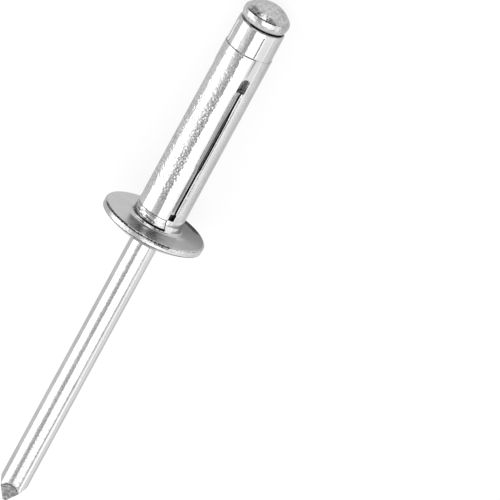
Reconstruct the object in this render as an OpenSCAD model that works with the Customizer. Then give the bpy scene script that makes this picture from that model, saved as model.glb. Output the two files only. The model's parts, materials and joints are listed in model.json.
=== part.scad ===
// Slit-body blind rivet, as supplied: a flanged tube with three slits, crimped on a headed pull stem.
// Both pieces are drawn upright on +Z, with the flange's seat face at zero and the domed head on top,
// and are then laid down as the rivet comes to rest, on the flange's rim and the belt of the head.

/* [Shank] */
// Outside diameter of the tube
shank_d = 4.8; // [4.2:0.1:6]
// Length of the tube from the flange's seat face
shank_l = 21.8; // [18:0.1:30]
// Length of the end that is crimped on the stem
crimp_l = 2.8; // [1.5:0.05:4]
// Amount that crimping takes off the diameter
crimp_squeeze = 0.16; // [0.06:0.02:0.3]
// Amount that the crimped end tapers towards its edge, on the diameter
crimp_taper = 0.04; // [0.02:0.01:0.1]
// Width of the fine groove at the crimp line
crimp_groove_w = 0.14; // [0.06:0.02:0.3]
// Depth of that groove below the crimped end
crimp_groove_depth = 0.07; // [0.02:0.01:0.15]
// Rounding of the tube's end edge
end_r = 0.12; // [0.05:0.01:0.25]
// Clearance between bore and stem on each side
bore_clearance = 0.08; // [0.03:0.01:0.15]
// Clearance on each side where the crimped end grips the stem
grip_clearance = 0.02; // [0.01:0.005:0.03]

/* [Slits] */
// Number of slits, and so of legs that fold out when the rivet is set
slit_count = 3; // [3:1:4]
// Turn of the first slit about the axis
slit_turn = 46; // [0:1:120]
// Height of a slit's foot above the seat face
slit_foot_h = 1.4; // [1.35:0.05:3]
// Distance from a slit's top to the crimp line
slit_top_gap = 2.05; // [1:0.05:4]
// Width of a slit near its ends
slit_w = 0.18; // [0.1:0.02:0.3]
// Width of a slit along its middle, where the legs stand apart
slit_gape_w = 0.36; // [0.2:0.02:0.5]
// Width across the rolled edges of a slit
slit_roll_w = 0.86; // [0.6:0.02:0.9]
// Depth of the rolled edges
slit_roll_depth = 0.24; // [0.1:0.02:0.4]
// Width of the round-headed window pierced at a slit's top
window_w = 0.9; // [0.6:0.05:1.2]
// Length of that window
window_l = 1.45; // [1:0.05:2.5]
// Width of the square nick at a slit's foot
nick_w = 0.6; // [0.4:0.05:0.8]
// Length of that nick
nick_l = 0.65; // [0.3:0.05:1]

/* [Flange] */
// Diameter of the flange
flange_d = 10.2; // [8.8:0.1:13]
// Thickness of the flange at the stem
flange_t = 1.45; // [1.1:0.05:2]
// Thickness of the flange at its rim
rim_t = 0.65; // [0.4:0.05:0.8]
// Rounding of the rim on the seat side
rim_r = 0.2; // [0.08:0.02:0.3]
// Diameter of the flat land that the setting tool's nose presses on
land_d = 6.8; // [5:0.1:7.6]
// Chamfer of the bore's mouth in that land
mouth_chamfer = 0.15; // [0.05:0.05:0.3]
// Height of the drawn-in root of the shank
root_h = 1.3; // [0.8:0.05:1.35]
// Amount that the root is drawn in at its top, on the diameter
root_undercut = 0.12; // [0.04:0.02:0.2]
// Amount that the root swells where it meets the fillet, on the diameter
root_swell = 0.12; // [0.04:0.02:0.3]
// Fillet between the root and the seat face
root_fillet = 0.33; // [0.15:0.01:0.5]
// Width of the fine groove between the root and its fillet
foot_groove_w = 0.12; // [0.06:0.02:0.2]
// Depth of that groove
foot_groove_depth = 0.08; // [0.02:0.01:0.15]

/* [Stem] */
// Diameter of the stem
stem_d = 2.7; // [2.2:0.05:3]
// Length of stem from the seat face to the point
stem_out = 31; // [20:0.1:45]
// Distance of the break neck below the head
neck_below_head = 12.4; // [6:0.2:18]
// Diameter left in the break neck
neck_d = 1.9; // [1.5:0.05:2.1]
// Angle between the flanks of the break neck
neck_angle = 90; // [60:5:120]
// Length of the four-sided point
point_l = 2.15; // [1.2:0.05:4]
// Width of the point's blunt end
point_flat = 0.3; // [0.1:0.05:0.8]
// Turn of the point's flats about the axis
point_turn = 15; // [0:1:90]

/* [Head] */
// Diameter of the head at its belt
head_d = 4.62; // [4.2:0.02:5.6]
// Height of the head above the tube's end
head_h = 2.18; // [1.8:0.02:2.6]
// Height of the belt above the tube's end
belt_h = 0.66; // [0.4:0.02:0.9]
// Radius of the bulge of the belt
belt_r = 1.2; // [1:0.05:2]
// Radius of the crown
crown_r = 3; // [2.6:0.05:4]

/* [Rest] */
// Roll of the lying rivet about its own axis
lie_roll = -15; // [-60:1:60]

/* [Hidden] */
$fn = 96;

// One overrun for every cut
cut = 0.5;

aluminium_body = [0.8, 0.8, 0.8];
aluminium_stem = [0.74, 0.74, 0.75];

shank_r = shank_d / 2;
crimp_y = shank_l - crimp_l;
crimp_r = (shank_d - crimp_squeeze) / 2;
lip_r = crimp_r - crimp_taper / 2;
stem_r = stem_d / 2;
bore_r = stem_r + bore_clearance;
grip_r = stem_r + grip_clearance;
flange_r = flange_d / 2;
land_r = land_d / 2;
root_top_r = (shank_d - root_undercut) / 2;
root_foot_r = (shank_d + root_swell) / 2;
head_r = head_d / 2;
neck_r = neck_d / 2;
neck_y = shank_l - neck_below_head;

// The flange's dome is an arc through the rim's lower edge and the land's edge, centred on the axis
dome_y = (pow(flange_r, 2) + pow(rim_t, 2) - pow(land_r, 2) - pow(flange_t, 2)) / (2 * (flange_t - rim_t));
dome_r = norm([flange_r, dome_y + rim_t]);

// A slit runs from its nick to its window, and gapes between these shares of its length
slit_top_h = crimp_y - slit_top_gap;
slit_l = slit_top_h - slit_foot_h;
gape_shares = [0.33, 0.74];
roll_foot_h = slit_foot_h + nick_l;
roll_l = slit_top_h - window_l - roll_foot_h;

// Four flats meet the stem's surface at the start of the point
point_sides = 4;
point_run = stem_r - point_flat / 2;
point_lean = atan2(point_run, point_l);
point_side_l = norm([point_run, point_l]);
point_reach = point_flat / 2 * (abs(cos(point_turn + lie_roll)) + abs(sin(point_turn + lie_roll)));

// The resting plane touches two round edges: the rim's rounding, and the belt of the head
rest_rise = flange_r - rim_r - (head_r - belt_r);
rest_run = shank_l + belt_h + rim_r;
rest_tilt = acos((belt_r - rim_r) / norm([rest_rise, rest_run])) - atan2(rest_run, rest_rise);
rest_h = (flange_r - rim_r) * cos(rest_tilt) - rim_r * sin(rest_tilt) + rim_r;

// Ends of the lying rivet along X, measured from the centre of the seat face
crown_end = -(shank_l + head_h - crown_r) * cos(rest_tilt) - crown_r;
point_end = stem_out * cos(rest_tilt) + point_reach * sin(rest_tilt);

// Upright to lying: the rivet rolls about its axis, then its head end dips by the resting tilt,
// and the origin is on the resting plane, halfway between the two ends
module lay_down() {
    translate([-(crown_end + point_end) / 2, 0, rest_h])
        rotate([0, -90 - rest_tilt, 0])
            rotate([0, 0, lie_roll])
                children();
}

// Half section of the flange: a dome cut off by the land, with a rounded rim on the seat side
module flange_section() {
    intersection() {
        translate([0, dome_y])
            circle(r = dome_r);
        translate([0, -flange_t])
            union() {
                square([flange_r - rim_r, flange_t]);
                square([flange_r, flange_t - rim_r]);
                translate([flange_r - rim_r, flange_t - rim_r])
                    circle(r = rim_r);
            }
    }
}

// Half section of the root: a slight cone, narrower than the tube above it, that rises from a fillet,
// with a fine groove between the two
module root_section() {
    half = foot_groove_w / 2;
    groove = [[-foot_groove_depth, 0], [0, -half], [root_fillet, -half], [root_fillet, half], [0, half]];
    difference() {
        union() {
            polygon([[0, 0], [root_foot_r, 0], [root_top_r, root_h], [0, root_h]]);
            square([root_foot_r + root_fillet, root_fillet]);
        }
        translate([root_foot_r + root_fillet, root_fillet])
            circle(r = root_fillet);
        translate([root_foot_r, root_fillet])
            polygon(groove);
    }
}

// Half section of the tube, with its crimped end, which tapers a little to a rounded edge
module shank_section() {
    edge_y = shank_l - end_r;
    translate([0, root_h])
        square([shank_r, crimp_y - root_h]);
    difference() {
        union() {
            polygon([[0, root_h], [crimp_r, root_h], [crimp_r, crimp_y], [lip_r, edge_y], [0, edge_y]]);
            translate([0, root_h])
                square([lip_r - end_r, shank_l - root_h]);
            translate([lip_r - end_r, edge_y])
                circle(r = end_r);
        }
        translate([crimp_r, crimp_y])
            polygon([[-crimp_groove_depth, 0], [0, crimp_groove_w], [cut, crimp_groove_w], [cut, 0]]);
    }
}

// Half section of the bore, with a chamfered mouth, which narrows to a grip in the crimped end
module bore_section() {
    mouth_r = bore_r + mouth_chamfer + cut;
    translate([0, -flange_t - cut]) {
        square([bore_r, flange_t + cut + crimp_y]);
        polygon([[0, 0], [mouth_r, 0], [bore_r, mouth_chamfer + cut], [0, mouth_chamfer + cut]]);
    }
    square([grip_r, shank_l + cut]);
}

// Outline of one slit as cut through the wall: a gaping slot with a nick below and a window above
module slit_outline() {
    half = slit_w / 2;
    gape = slit_gape_w / 2;
    low = slit_l * gape_shares[0];
    high = slit_l * gape_shares[1];
    right = [[half, 0], [gape, low], [gape, high], [half, slit_l]];
    left = [[-half, slit_l], [-gape, high], [-gape, low], [-half, 0]];
    polygon(concat(right, left));
    translate([-nick_w / 2, 0])
        square([nick_w, nick_l]);
    translate([-window_w / 2, slit_l - window_l])
        square([window_w, window_l - window_w / 2]);
    translate([0, slit_l - window_w / 2])
        circle(d = window_w);
}

// One slit: the cut through the wall, and the trough between its rolled edges
module slit() {
    translate([0, 0, slit_foot_h])
        rotate([90, 0, 90])
            linear_extrude(shank_r + cut)
                slit_outline();
    half = slit_w / 2;
    rise = slit_roll_depth + cut;
    flare = half + (slit_roll_w / 2 - half) * rise / slit_roll_depth;
    translate([shank_r - slit_roll_depth, 0, roll_foot_h])
        linear_extrude(roll_l)
            polygon([[0, -half], [rise, -flare], [rise, flare], [0, half]]);
}

// Flange and slit tube, drawn from one piece
module rivet_body() {
    color(aluminium_body)
        lay_down()
            difference() {
                rotate_extrude()
                    difference() {
                        union() {
                            flange_section();
                            root_section();
                            shank_section();
                        }
                        bore_section();
                    }
                for (i = [0 : slit_count - 1])
                    rotate([0, 0, slit_turn + i * 360 / slit_count])
                        slit();
            }
}

// Half section of the head: a bulging belt under a flatter crown
module head_section() {
    translate([0, shank_l])
        intersection() {
            translate([0, head_h - crown_r])
                circle(r = crown_r);
            union() {
                translate([head_r - belt_r, belt_h])
                    circle(r = belt_r);
                square([head_r - belt_r, head_h]);
            }
            square([head_r, head_h]);
        }
}

// Half section of the stem, with the neck that breaks when the rivet is set
module stem_section() {
    neck_rise = (stem_r + cut - neck_r) * tan(neck_angle / 2);
    difference() {
        translate([0, -stem_out])
            square([stem_r, stem_out + shank_l + belt_h]);
        translate([neck_r, neck_y])
            polygon([[0, 0], [stem_r + cut - neck_r, -neck_rise], [stem_r + cut - neck_r, neck_rise]]);
    }
}

// The slabs that pinching takes off the stem's end
module point_cuts() {
    for (i = [0 : point_sides - 1])
        rotate([0, 0, point_turn + i * 360 / point_sides])
            translate([point_flat / 2, 0, -stem_out])
                rotate([0, point_lean, 0])
                    translate([0, -stem_d, -cut])
                        cube([stem_d, 2 * stem_d, point_side_l + stem_d]);
}

// Headed pull stem with a pinched point
module mandrel() {
    color(aluminium_stem)
        lay_down()
            difference() {
                rotate_extrude()
                    union() {
                        stem_section();
                        head_section();
                    }
                point_cuts();
            }
}

rivet_body();
mandrel();
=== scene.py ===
# %% [markdown]
# # A blind rivet that waits to be set
#
# The object is a slit-body blind rivet. A flanged aluminium tube with three long slits is crimped on a
# pull stem with a round head. When a setting tool pulls the stem, the legs between the slits fold out
# and clamp the sheets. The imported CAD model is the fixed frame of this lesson: it says where each piece
# lies and how large it may be, and everything below is built to the same sizes.

import json
import math

import bpy
import numpy as np
from mathutils import Matrix, Vector


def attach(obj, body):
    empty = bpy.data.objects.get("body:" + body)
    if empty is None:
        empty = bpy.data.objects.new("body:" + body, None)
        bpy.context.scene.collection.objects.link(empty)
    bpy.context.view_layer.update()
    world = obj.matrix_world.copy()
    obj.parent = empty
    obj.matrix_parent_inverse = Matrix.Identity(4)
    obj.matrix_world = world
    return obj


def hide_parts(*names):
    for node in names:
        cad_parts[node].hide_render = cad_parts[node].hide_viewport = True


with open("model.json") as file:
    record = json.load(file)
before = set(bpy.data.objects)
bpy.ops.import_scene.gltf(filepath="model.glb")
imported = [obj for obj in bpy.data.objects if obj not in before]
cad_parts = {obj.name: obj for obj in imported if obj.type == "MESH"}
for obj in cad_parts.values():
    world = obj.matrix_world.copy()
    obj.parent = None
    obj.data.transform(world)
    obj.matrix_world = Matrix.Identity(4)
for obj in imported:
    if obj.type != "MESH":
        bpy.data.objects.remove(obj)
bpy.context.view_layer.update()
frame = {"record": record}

# %% [markdown]
# ## The rivet's own axis
#
# The rivet lies on the rim of its flange and on the belt of its head, so its axis dips a little. Turned
# pieces are far easier to describe upright, as a radius and a height, so each mesh is worked out upright
# in millimetres and laid down at the end. The record states the shank's axis and a point of the seat
# face, and the lying position follows from those two.

# %% Upright to lying
MM = 0.001
scene = bpy.context.scene
mounts = {mount["name"]: mount for mount in frame["record"]["mounts"]}
along = Vector(mounts["shank"]["axis"]).normalized()
on_axis = Vector(mounts["shank"]["pos_m"])
on_seat = Vector(mounts["flange_seat"]["pos_m"])
seat = on_axis - along * (on_axis - on_seat).dot(along)
across = Vector((0, 1, 0))
upward = across.cross(along)


def lie_down(points):
    """Upright points in millimetres become points of the lying rivet in metres."""
    return np.array(seat) + MM * np.asarray(points) @ np.array((upward, across, along))


print("seat centre in mm:", [round(1000 * c, 3) for c in seat], "axis:", [round(c, 4) for c in along])

# %% [markdown]
# ## The camera
#
# The picture shows the rivet from far away through a long lens: its sides stay parallel, and the round
# edges are flat ellipses. Their flatness gives the lean of the head end towards the viewer, and the slope
# of the stem in the picture gives the camera's roll. With those two angles, one point and one scale fix
# the camera, so nothing has to be dragged into place by eye.

# %% Camera
PICTURE = 500
HEAD_LEAN = math.radians(18.9)
PICTURE_SLOPE = math.radians(28.65)
PIXELS_PER_MM = 10.85
SEAT_PIXEL = (155.62, 221.22)
VIEW_DISTANCE, VIEW_END = 2.0, 10

right = along.cross(upward)
to_camera = math.sin(HEAD_LEAN) * along + math.cos(HEAD_LEAN) * upward
to_head = math.cos(HEAD_LEAN) * along - math.sin(HEAD_LEAN) * upward
picture_x = math.sin(PICTURE_SLOPE) * to_head + math.cos(PICTURE_SLOPE) * right
picture_y = math.cos(PICTURE_SLOPE) * to_head - math.sin(PICTURE_SLOPE) * right
seat_x = (SEAT_PIXEL[0] - PICTURE / 2) / PIXELS_PER_MM * MM
seat_y = (PICTURE / 2 - SEAT_PIXEL[1]) / PIXELS_PER_MM * MM
eye = seat - seat_x * picture_x - seat_y * picture_y + VIEW_DISTANCE * to_camera

lens = bpy.data.cameras.new("camera")
lens.lens = lens.sensor_width * VIEW_DISTANCE / (PICTURE / PIXELS_PER_MM * MM)
lens.clip_end = VIEW_END
camera = bpy.data.objects.new("camera", lens)
turned = Matrix((picture_x, picture_y, to_camera)).transposed().to_4x4()
camera.matrix_world = Matrix.Translation(eye) @ turned
scene.collection.objects.link(camera)
scene.camera = camera
print("camera at", [round(c, 3) for c in eye], "with a lens of", round(lens.lens), "mm")

# %% [markdown]
# ## Softboxes
#
# Bright metal shows its surroundings more than its own colour. The long white bands on the shank are two
# softboxes, the grey band between them is the unlit part of the room, and the pale band on the right is a
# white board beside the right softbox. On a cylinder, a mirror image at angle T from the middle comes from
# twice that angle in the room, so each lamp can be placed by the band that it has to draw. The stem
# mirrors a lower part of the studio than the shank does: there both softboxes are wider, and the board
# stands apart. A ray passes through a lamp to the room behind it, so the brightness of the room is taken
# off that of each lamp. A lamp of one square metre needs four watts for a brightness of one.

# %% Softboxes
LAMP_DISTANCE = 300
LAMP_FOOT, LAMP_SPLIT, LAMP_TOP = -150, -104, 140
LAMP_LIGHTS = {"left softbox": 2.2, "right softbox": 2.2, "white board": 1.6}
UPPER_TURNS = ((-92, -53), (-5, 38.5), (38.5, 90))
LOWER_TURNS = ((-92, -39), (-3, 56), (68, 90))
WATTS_PER_LIGHT = 4
ROOM_LOW, ROOM_HIGH = 0.77, 0.86
scene.view_settings.view_transform = "Standard"


def softbox(name, turns, reach, radiance):
    """A rectangular lamp between two turns about the rivet's axis and two heights along it."""
    middle = math.radians(sum(turns) / 2)
    width = 2 * LAMP_DISTANCE * math.tan(math.radians(turns[1] - turns[0]) / 2)
    length = reach[1] - reach[0]
    away = math.cos(middle) * upward + math.sin(middle) * right
    lamp = bpy.data.lights.new(name, "AREA")
    lamp.shape = "RECTANGLE"
    lamp.size, lamp.size_y = width * MM, length * MM
    lamp.energy = WATTS_PER_LIGHT * (radiance - ROOM_HIGH) * lamp.size * lamp.size_y
    box = bpy.data.objects.new(name, lamp)
    place = seat + MM * (sum(reach) / 2 * along + LAMP_DISTANCE * away)
    facing = Matrix((along.cross(away), along, away)).transposed().to_4x4()
    box.matrix_world = Matrix.Translation(place) @ facing
    box.visible_camera = False
    scene.collection.objects.link(box)
    print(name, "is", round(width), "by", round(length), "mm, power", round(lamp.energy, 3), "W")


for part, reach, part_turns in (("upper", (LAMP_SPLIT, LAMP_TOP), UPPER_TURNS),
                                ("lower", (LAMP_FOOT, LAMP_SPLIT), LOWER_TURNS)):
    for (name, radiance), turns in zip(LAMP_LIGHTS.items(), part_turns):
        softbox(name + ", " + part + " part", turns, reach, radiance)

# %% [markdown]
# ## Small helpers for nodes
#
# The room and the finishes are trees of shader nodes. The nodes could be placed by hand in the Shader
# Editor, but written down they can be read from top to bottom and built again. One function adds a node
# and fills its inputs, with a number or with a link, and the others are the steps that return most often.

# %% Node helpers


def add(tree, kind, values=None, **settings):
    """A new node with settings, and with values or links for its inputs."""
    node = tree.nodes.new("ShaderNode" + kind)
    for key, value in settings.items():
        setattr(node, key, value)
    for key, value in (values or {}).items():
        if isinstance(value, bpy.types.NodeSocket):
            tree.links.new(value, node.inputs[key])
        else:
            node.inputs[key].default_value = value
    return node


def math_node(tree, operation, first, second=0.0, third=0.0):
    """One step of arithmetic."""
    return add(tree, "Math", {0: first, 1: second, 2: third}, operation=operation).outputs[0]


def ease(tree, value, low, high, start=0.0, end=1.0):
    """A smooth step of a value from start to end."""
    values = {"Value": value, "From Min": low, "From Max": high, "To Min": start, "To Max": end}
    return add(tree, "MapRange", values, interpolation_type="SMOOTHSTEP").outputs[0]


def blend_value(tree, factor, first, second):
    """A mix of two numbers."""
    return add(tree, "Mix", {0: factor, 2: first, 3: second}).outputs[0]


print("node helpers:", ", ".join(helper.__name__ for helper in (add, math_node, ease, blend_value)))

# %% [markdown]
# ## The room
#
# The rest of the room is the world. It is pale, and paler still around the left softbox, which lights the
# wall behind it, and beyond the stem. Beyond the head the room is dark, with one long bright window, and
# that is what the crown of the head and the rounded rim mirror. A world shader receives the direction of
# each ray, so each of these is simply a range of angles.

# %% World
GLOW_LIGHT, FOOT_LIGHT, DARK_LIGHT, SIDE_LIGHT, WINDOW_LIGHT = 1.85, 1.45, 0.17, 0.63, 2.3
ROOM_HEIGHTS, GLOW_AT, GLOW_CONE = (0.0, 0.9), (-72, -19), (52, 18)
FOOT_EDGE, DARK_EDGE, SIDE_EDGE, SIDE_TOP = (-0.45, -0.6), (0.42, 0.55), (0.15, 0.4), (0.5, 0.65)
WINDOW_SLOPE, WINDOW_MIDDLE, WINDOW_HALF = 0.54, -0.65, (0.23, 0.18)


def towards(turn, rise):
    """A direction from the rivet: a turn about its axis, and an angle up along it."""
    turn, rise = math.radians(turn), math.radians(rise)
    return math.cos(rise) * (math.cos(turn) * upward + math.sin(turn) * right) + math.sin(rise) * along


room = bpy.data.worlds.new("room")
scene.world = room
room.use_nodes = True
sky = room.node_tree
sky.nodes.clear()
ray = add(sky, "TexCoord").outputs["Generated"]
height = add(sky, "SeparateXYZ", {0: ray}).outputs["Z"]


def share_of(direction):
    """How far each ray points in a direction."""
    return add(sky, "VectorMath", {0: ray, 1: direction}, operation="DOT_PRODUCT").outputs["Value"]


def near_direction(direction, wide, narrow):
    """One inside a cone about a direction, nought outside it."""
    return ease(sky, share_of(direction), math.cos(math.radians(wide)), math.cos(math.radians(narrow)))


along_share, right_share = share_of(along), share_of(right)
glow = ease(sky, height, *ROOM_HEIGHTS, ROOM_LOW, ROOM_HIGH)
glow = blend_value(sky, near_direction(towards(*GLOW_AT), *GLOW_CONE), glow, GLOW_LIGHT)
glow = blend_value(sky, ease(sky, along_share, *FOOT_EDGE), glow, FOOT_LIGHT)
ahead = ease(sky, along_share, *DARK_EDGE)
low_right = math_node(sky, "MULTIPLY", ease(sky, right_share, *SIDE_EDGE), ease(sky, along_share, *SIDE_TOP))
glow = blend_value(sky, ahead, glow, blend_value(sky, low_right, DARK_LIGHT, SIDE_LIGHT))
window_side = math_node(sky, "SUBTRACT", share_of(right - WINDOW_SLOPE * along), WINDOW_MIDDLE)
window_share = ease(sky, math_node(sky, "ABSOLUTE", window_side), *WINDOW_HALF)
glow = blend_value(sky, math_node(sky, "MULTIPLY", ahead, window_share), glow, WINDOW_LIGHT)
background = add(sky, "Background", {"Strength": glow})
add(sky, "OutputWorld", {"Surface": background.outputs[0]})
print("room brightness from", ROOM_LOW, "to", ROOM_HIGH)

# %% [markdown]
# ## Sections
#
# Each piece is a turned form, so its shape is a section: a line of points, each with a radius and a height.
# Straight runs are cut closer together near their ends, which keeps the shading of flat faces flat, and
# each corner gets a small rounding of its own, because no real edge is perfectly sharp and the rounding
# is what catches a thin line of light.

# %% Section helpers
ARC_STEPS = 5


def run(start, end, steps):
    """Points strictly between two points, closer together near both."""
    share = (1 - np.cos(np.pi * np.arange(1, steps) / steps)) / 2
    return [tuple(np.array(start) + s * (np.array(end) - start)) for s in share]


def arc(centre, radius, start, end, steps):
    """Points on an arc between two angles in degrees, both included."""
    turns = np.radians(np.linspace(start, end, steps + 1))
    return [(centre[0] + radius * math.cos(t), centre[1] + radius * math.sin(t)) for t in turns]


def rounded(before, corner, after, radius):
    """The points that replace a corner: an arc that touches both of its sides."""
    corner = np.array(corner)
    back = np.array(before) - corner
    ahead = np.array(after) - corner
    back, ahead = back / np.linalg.norm(back), ahead / np.linalg.norm(ahead)
    half = math.acos(np.clip(back @ ahead, -1, 1)) / 2
    inward = (back + ahead) / np.linalg.norm(back + ahead)
    centre = corner + inward * radius / math.sin(half)
    reach = radius / math.tan(half)
    first, last = corner + back * reach - centre, corner + ahead * reach - centre
    start = math.atan2(first[1], first[0])
    sweep = (math.atan2(last[1], last[0]) - start + math.pi) % (2 * math.pi) - math.pi
    turns = start + sweep * np.linspace(0, 1, ARC_STEPS + 1)
    return [(centre[0] + radius * math.cos(t), centre[1] + radius * math.sin(t)) for t in turns]


def trace(corners):
    """A section line through corners, each (radius, height, rounding, steps to the next corner)."""
    bends = []
    for i, (r, h, radius, _) in enumerate(corners):
        if radius and 0 < i < len(corners) - 1:
            bends.append(rounded(corners[i - 1][:2], (r, h), corners[i + 1][:2], radius))
        else:
            bends.append([(r, h)])
    line = list(bends[0])
    for corner, bend in zip(corners, bends[1:]):
        line += run(line[-1], bend[0], corner[3]) + bend
    return line


def chain(*corners):
    """Corners for trace, each with no rounding and one step unless they are given."""
    return [(c[0], c[1], c[2] if len(c) > 2 else 0, c[3] if len(c) > 3 else 1) for c in corners]


print("a rounded corner has", ARC_STEPS + 1, "points")

# %% [markdown]
# ## The body's section
#
# The body is drawn from one piece of metal: a low domed flange, a seat face, a root that is drawn in a
# little above a fine groove, a long tube and a crimped end. The section starts at the mouth of the bore,
# runs out over the flange, up the tube, over its end and back down the bore.

# %% Body section
SHANK_R, SHANK_L = 2.4, 21.74
BORE_R, GRIP_R = 1.43, 1.37
FLANGE_R, FLANGE_T, RIM_T, RIM_R = 5.1, 1.45, 0.65, 0.2
LAND_R, MOUTH = 3.4, 0.15
ROOT_H, ROOT_TOP_R, ROOT_FOOT_R, FILLET = 1.3, 2.34, 2.46, 0.33
GROOVE_W, GROOVE_DEPTH, ROOT_STEP, ROOT_REACH = 0.23, 0.08, 0.03, 0.09
CRIMP_H, CRIMP_R, LIP_R, END_R = 19.0, 2.32, 2.3, 0.12
CRIMP_LINE_W, CRIMP_LINE_DEPTH, CRIMP_LEAD = 0.1, 0.05, 0.6
BREAK, LAND_ROUND, DOME_ROUND, GROOVE_ROUND, ROOT_ROUND = 0.03, 0.12, 0.06, 0.012, 0.025
CRIMP_ROUND, CRIMP_FOOT_ROUND, COLLAR_ROUND = 0.02, 0.015, 0.05

dome_rise = (FLANGE_R**2 + RIM_T**2 - LAND_R**2 - FLANGE_T**2) / (2 * (FLANGE_T - RIM_T))
dome_r = math.hypot(FLANGE_R, dome_rise + RIM_T)


def dome_turn(radius):
    """The angle on the flange's dome at a radius."""
    return -math.degrees(math.acos(radius / dome_r))


dome_line = arc((0, dome_rise), dome_r, dome_turn(LAND_R), dome_turn(FLANGE_R), 14)
under = trace(chain((BORE_R, MOUTH - FLANGE_T, 0, 2), (BORE_R + MOUTH, -FLANGE_T, BREAK, 9),
                    (LAND_R, -FLANGE_T, LAND_ROUND, 1), dome_line[1]))
rim = trace(chain(dome_line[-2], (FLANGE_R, -RIM_T, DOME_ROUND, 10), (FLANGE_R, -RIM_R)))
rim_bend = arc((FLANGE_R - RIM_R, -RIM_R), RIM_R, 0, 90, 9)
foot = ROOT_FOOT_R + FILLET
seat_face = run(rim_bend[-1], (foot, 0), 14)
fillet_end = 180 + math.degrees(math.asin(GROOVE_W / 2 / FILLET))
fillet = arc((foot, FILLET), FILLET, 270, fillet_end, 9)
groove_r = ROOT_FOOT_R - GROOVE_DEPTH
root = trace(chain((*fillet[-1], 0, 3), (groove_r, FILLET, GROOVE_ROUND, 2),
                   (ROOT_FOOT_R - ROOT_STEP, FILLET + GROOVE_W / 2, ROOT_ROUND, 14),
                   (ROOT_TOP_R, ROOT_H - ROOT_STEP, GROOVE_ROUND, 2), (SHANK_R, ROOT_H, BREAK, 2),
                   (SHANK_R, ROOT_H + ROOT_REACH)))
below_root = under[:-1] + dome_line[1:-2] + rim[:-1] + rim_bend + seat_face + fillet[:-1]
below_slits = below_root + root
end_bend = arc((LIP_R - END_R, SHANK_L - END_R), END_R, 0, 90, 7)
crimp = trace(chain((SHANK_R, CRIMP_H - CRIMP_LEAD, 0, 4), (SHANK_R, CRIMP_H, CRIMP_ROUND, 2),
                    (CRIMP_R - CRIMP_LINE_DEPTH, CRIMP_H, CRIMP_FOOT_ROUND, 2),
                    (CRIMP_R, CRIMP_H + CRIMP_LINE_W, COLLAR_ROUND, 12), end_bend[0]))
inside = trace(chain(end_bend[-1], (GRIP_R, SHANK_L, BREAK, 4), (GRIP_R, CRIMP_H, 0, 1), (BORE_R, CRIMP_H)))
above = len(crimp) + len(end_bend) + len(inside)
print("section points:", len(below_slits), "below the slits,", above, "above")

# %% [markdown]
# ## The outline of a slit
#
# A slit is pierced with a square nick at its foot and a round-headed window at its top, and its two sides
# stand furthest apart at mid-length. It could be cut with a Boolean, but that leaves long thin triangles
# that shade badly. Here the outline is a half width at each height instead, and the columns of the mesh
# bend to follow it, so the edges of the slit are edges of the mesh. The parting line runs a little to one
# side of the nick and the window, because one leg is rolled in further than the other.

# %% Slit outline
SLITS, SLIT_TURN = 3, math.radians(31)
SLIT_FOOT, SLIT_TOP = 1.4, 16.95
NICK_W, NICK_L, WINDOW_W, WINDOW_L = 0.63, 0.67, 0.9, 1.45
SLIT_W, GAPE_W, PARTING = 0.155, 0.3, 0.145
GAPE_SHARES, GAPE_RUN = (0.33, 0.74), 0.7
CORNER_R, LEDGE, GAPE_ROUND, WINDOW_TURN = 0.05, 0.03, 2, 84

nick_top = SLIT_FOOT + NICK_L
window_foot = SLIT_TOP - WINDOW_L
window_mid = SLIT_TOP - WINDOW_W / 2
gape = [SLIT_FOOT + share * (SLIT_TOP - SLIT_FOOT) for share in GAPE_SHARES]
corner = CORNER_R / 2
sides = trace(chain((NICK_W / 2 - CORNER_R, SLIT_FOOT), (NICK_W / 2, SLIT_FOOT + LEDGE, corner, 5),
                    (NICK_W / 2, nick_top - LEDGE, corner, 4), (SLIT_W / 2, nick_top, corner, 12),
                    (SLIT_W / 2, gape[0], GAPE_ROUND, 6), (GAPE_W / 2, gape[0] + GAPE_RUN, GAPE_ROUND, 14),
                    (GAPE_W / 2, gape[1] - GAPE_RUN, GAPE_ROUND, 6),
                    (SLIT_W / 2, gape[1] + GAPE_RUN, GAPE_ROUND, 8), (SLIT_W / 2, window_foot, corner, 4),
                    (WINDOW_W / 2, window_foot + LEDGE, corner, 6), (WINDOW_W / 2, window_mid)))
sides += arc((0, window_mid), WINDOW_W / 2, 0, WINDOW_TURN, 12)[1:]
slit_half = np.array([w for w, _ in sides])
slit_heights = np.array([h for _, h in sides])
assert np.all(np.diff(slit_heights) > 0)
print("slit outline:", len(sides), "rows, widest", round(2 * slit_half.max(), 3), "mm")

# %% [markdown]
# ## Rows and columns of the body
#
# The mesh is a grid: each row is a ring at one point of the section, and each column runs along the rivet.
# Near a slit the columns are close together and follow its sides. The walls of a slit are parallel, so
# the same columns take a larger angle on the bore than on the outside, and the rows of the end face and
# of the mouth pass from one to the other.

# %% Body grid
NEAR_SHARES = np.array([0.02, 0.05, 0.09, 0.14, 0.2, 0.27, 0.34, 0.38, 0.42, 0.5, 0.62, 0.74, 0.87, 1.0])
INSIDE_SHARES = np.linspace(-1, 1, 9)
NEAR_REACH, FADE_L, ROW_GAP = 1.15, 1.2, 0.02
FAR_COLUMNS = 30
sector_columns = 2 * len(NEAR_SHARES) + len(INSIDE_SHARES) + FAR_COLUMNS
columns = SLITS * sector_columns


def swell(value, low, high):
    """A smooth step from nought to one."""
    share = np.clip((value - low) / (high - low), 0, 1)
    return share * share * (3 - 2 * share)


def half_width(h):
    """Half the width between the two edge columns at a height, on a slit and past its ends."""
    past_top = swell(h, SLIT_TOP, SLIT_TOP + FADE_L)
    return np.interp(h, slit_heights, slit_half) + past_top * (slit_half[0] - slit_half[-1])


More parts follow.
